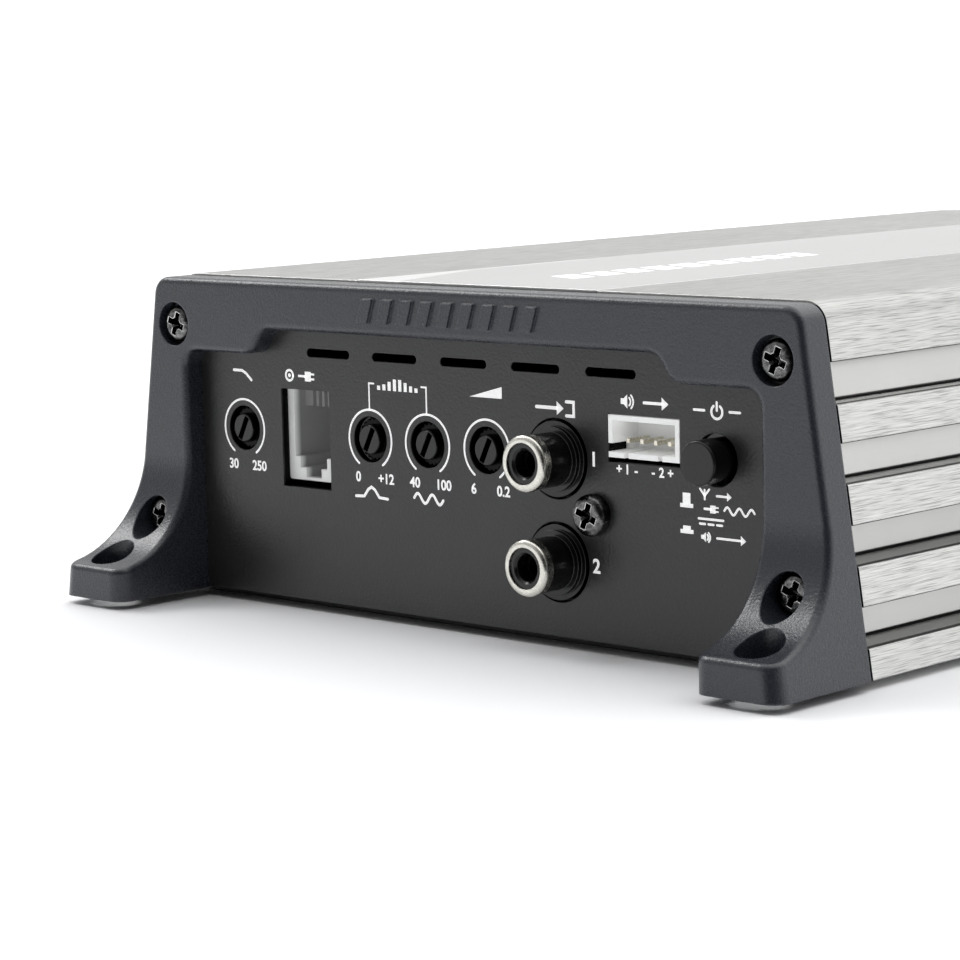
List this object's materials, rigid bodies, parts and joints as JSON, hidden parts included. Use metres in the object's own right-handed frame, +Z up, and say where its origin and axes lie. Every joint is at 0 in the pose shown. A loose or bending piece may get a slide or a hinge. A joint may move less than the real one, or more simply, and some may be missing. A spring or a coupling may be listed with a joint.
{
  "type": "car amplifier",
  "caption": "Low finned aluminium casing with a footed bezel at each end, a recessed control and signal panel at the front and power and speaker terminals at the rear.",
  "frame": {"origin": "middle of the footprint at the underside of the bottom cover", "axes": "+Z up, +Y from the control panel towards the terminal end, +X to the right when facing the control panel"},
  "size_m": [0.1432, 0.2466, 0.0512],
  "materials": {
    "brushed_aluminium": "brushed anodised",
    "polished_strip": "satin polished",
    "bezel_grey": "fine textured satin",
    "panel_black": "fine textured matt",
    "black_steel": "satin",
    "black_screw": "black oxide, oiled",
    "zinc_steel": "zinc plated",
    "nickel": "nickel plated",
    "contact_gold": "flash plated",
    "copper": "enamelled wire",
    "black_plastic": "moulded",
    "white_plastic": "moulded",
    "circuit_board": "solder mask",
    "insulation": "sheet",
    "ferrite": "sintered",
    "capacitor_sleeve": "shrink sleeve",
    "silicone": "matt",
    "fuse_plastic": "clear moulded",
    "led_lens": "diffused"
  },
  "bodies": {
    "chassis": {"blade_fuses": "fuse_plastic", "board_link": "black_plastic", "board_screws": "zinc_steel", "boost_pot_body": "black_plastic", "bottom_cover": "black_steel", "bottom_cover_screws": "black_screw", "capacitors": "capacitor_sleeve", "choke_core": "ferrite", "choke_winding": "copper", "clamp_bars": "zinc_steel", "control_board": "circuit_board", "frequency_pot_body": "black_plastic", "front_bezel": "bezel_grey", "front_bezel_screws": "black_screw", "front_panel": "panel_black", "fuse_holder": "black_plastic", "heatsink_extrusion": "brushed_aluminium", "hi_input_header": "white_plastic", "hi_input_pins": "contact_gold", "insulating_sheet": "insulation", "insulating_strips": "silicone", "level_pot_body": "black_plastic", "lowpass_pot_body": "black_plastic", "main_board": "circuit_board", "power_terminal_block": "black_plastic", "power_terminal_plates": "nickel", "power_terminal_screws": "nickel", "rca_contacts": "nickel", "rca_housing": "black_plastic", "rca_insulators": "black_plastic", "rca_screw": "black_screw", "rca_shells": "nickel", "rear_bezel": "bezel_grey", "rear_bezel_screws": "black_screw", "rear_panel": "panel_black", "remote_jack_contacts": "contact_gold", "remote_jack_housing": "white_plastic", "speaker_terminal_block": "black_plastic", "speaker_terminal_plates": "nickel", "speaker_terminal_screws": "nickel", "status_led": "led_lens", "switch_body": "black_plastic", "top_badge_strip": "polished_strip", "transformer_core": "ferrite", "transformer_winding": "copper", "transistors": "black_plastic"},
    "button": {"turn_on_button": "black_plastic"},
    "lowpass_knob": {"lowpass_pot_rotor": "black_plastic"},
    "boost_knob": {"boost_pot_rotor": "black_plastic"},
    "frequency_knob": {"frequency_pot_rotor": "black_plastic"},
    "level_knob": {"level_pot_rotor": "black_plastic"}
  },
  "joints": [
    {"name": "turn_on_push", "type": "slide", "parent": "chassis", "child": "button", "axis": [0, 1, 0], "range_m": [0, 0.0025]},
    {"name": "lowpass_turn", "type": "hinge", "parent": "chassis", "child": "lowpass_knob", "pos_m": [-0.0476, -0.1049, 0.0275], "axis": [0, 1, 0], "range_deg": [-167, 113]},
    {"name": "boost_turn", "type": "hinge", "parent": "chassis", "child": "boost_knob", "pos_m": [-0.01964, -0.1049, 0.0275], "axis": [0, 1, 0], "range_deg": [-167, 113]},
    {"name": "frequency_turn", "type": "hinge", "parent": "chassis", "child": "frequency_knob", "pos_m": [-0.00765, -0.1049, 0.0275], "axis": [0, 1, 0], "range_deg": [-167, 113]},
    {"name": "level_turn", "type": "hinge", "parent": "chassis", "child": "level_knob", "pos_m": [0.00439, -0.1049, 0.0275], "axis": [0, 1, 0], "range_deg": [-167, 113]}
  ]
}
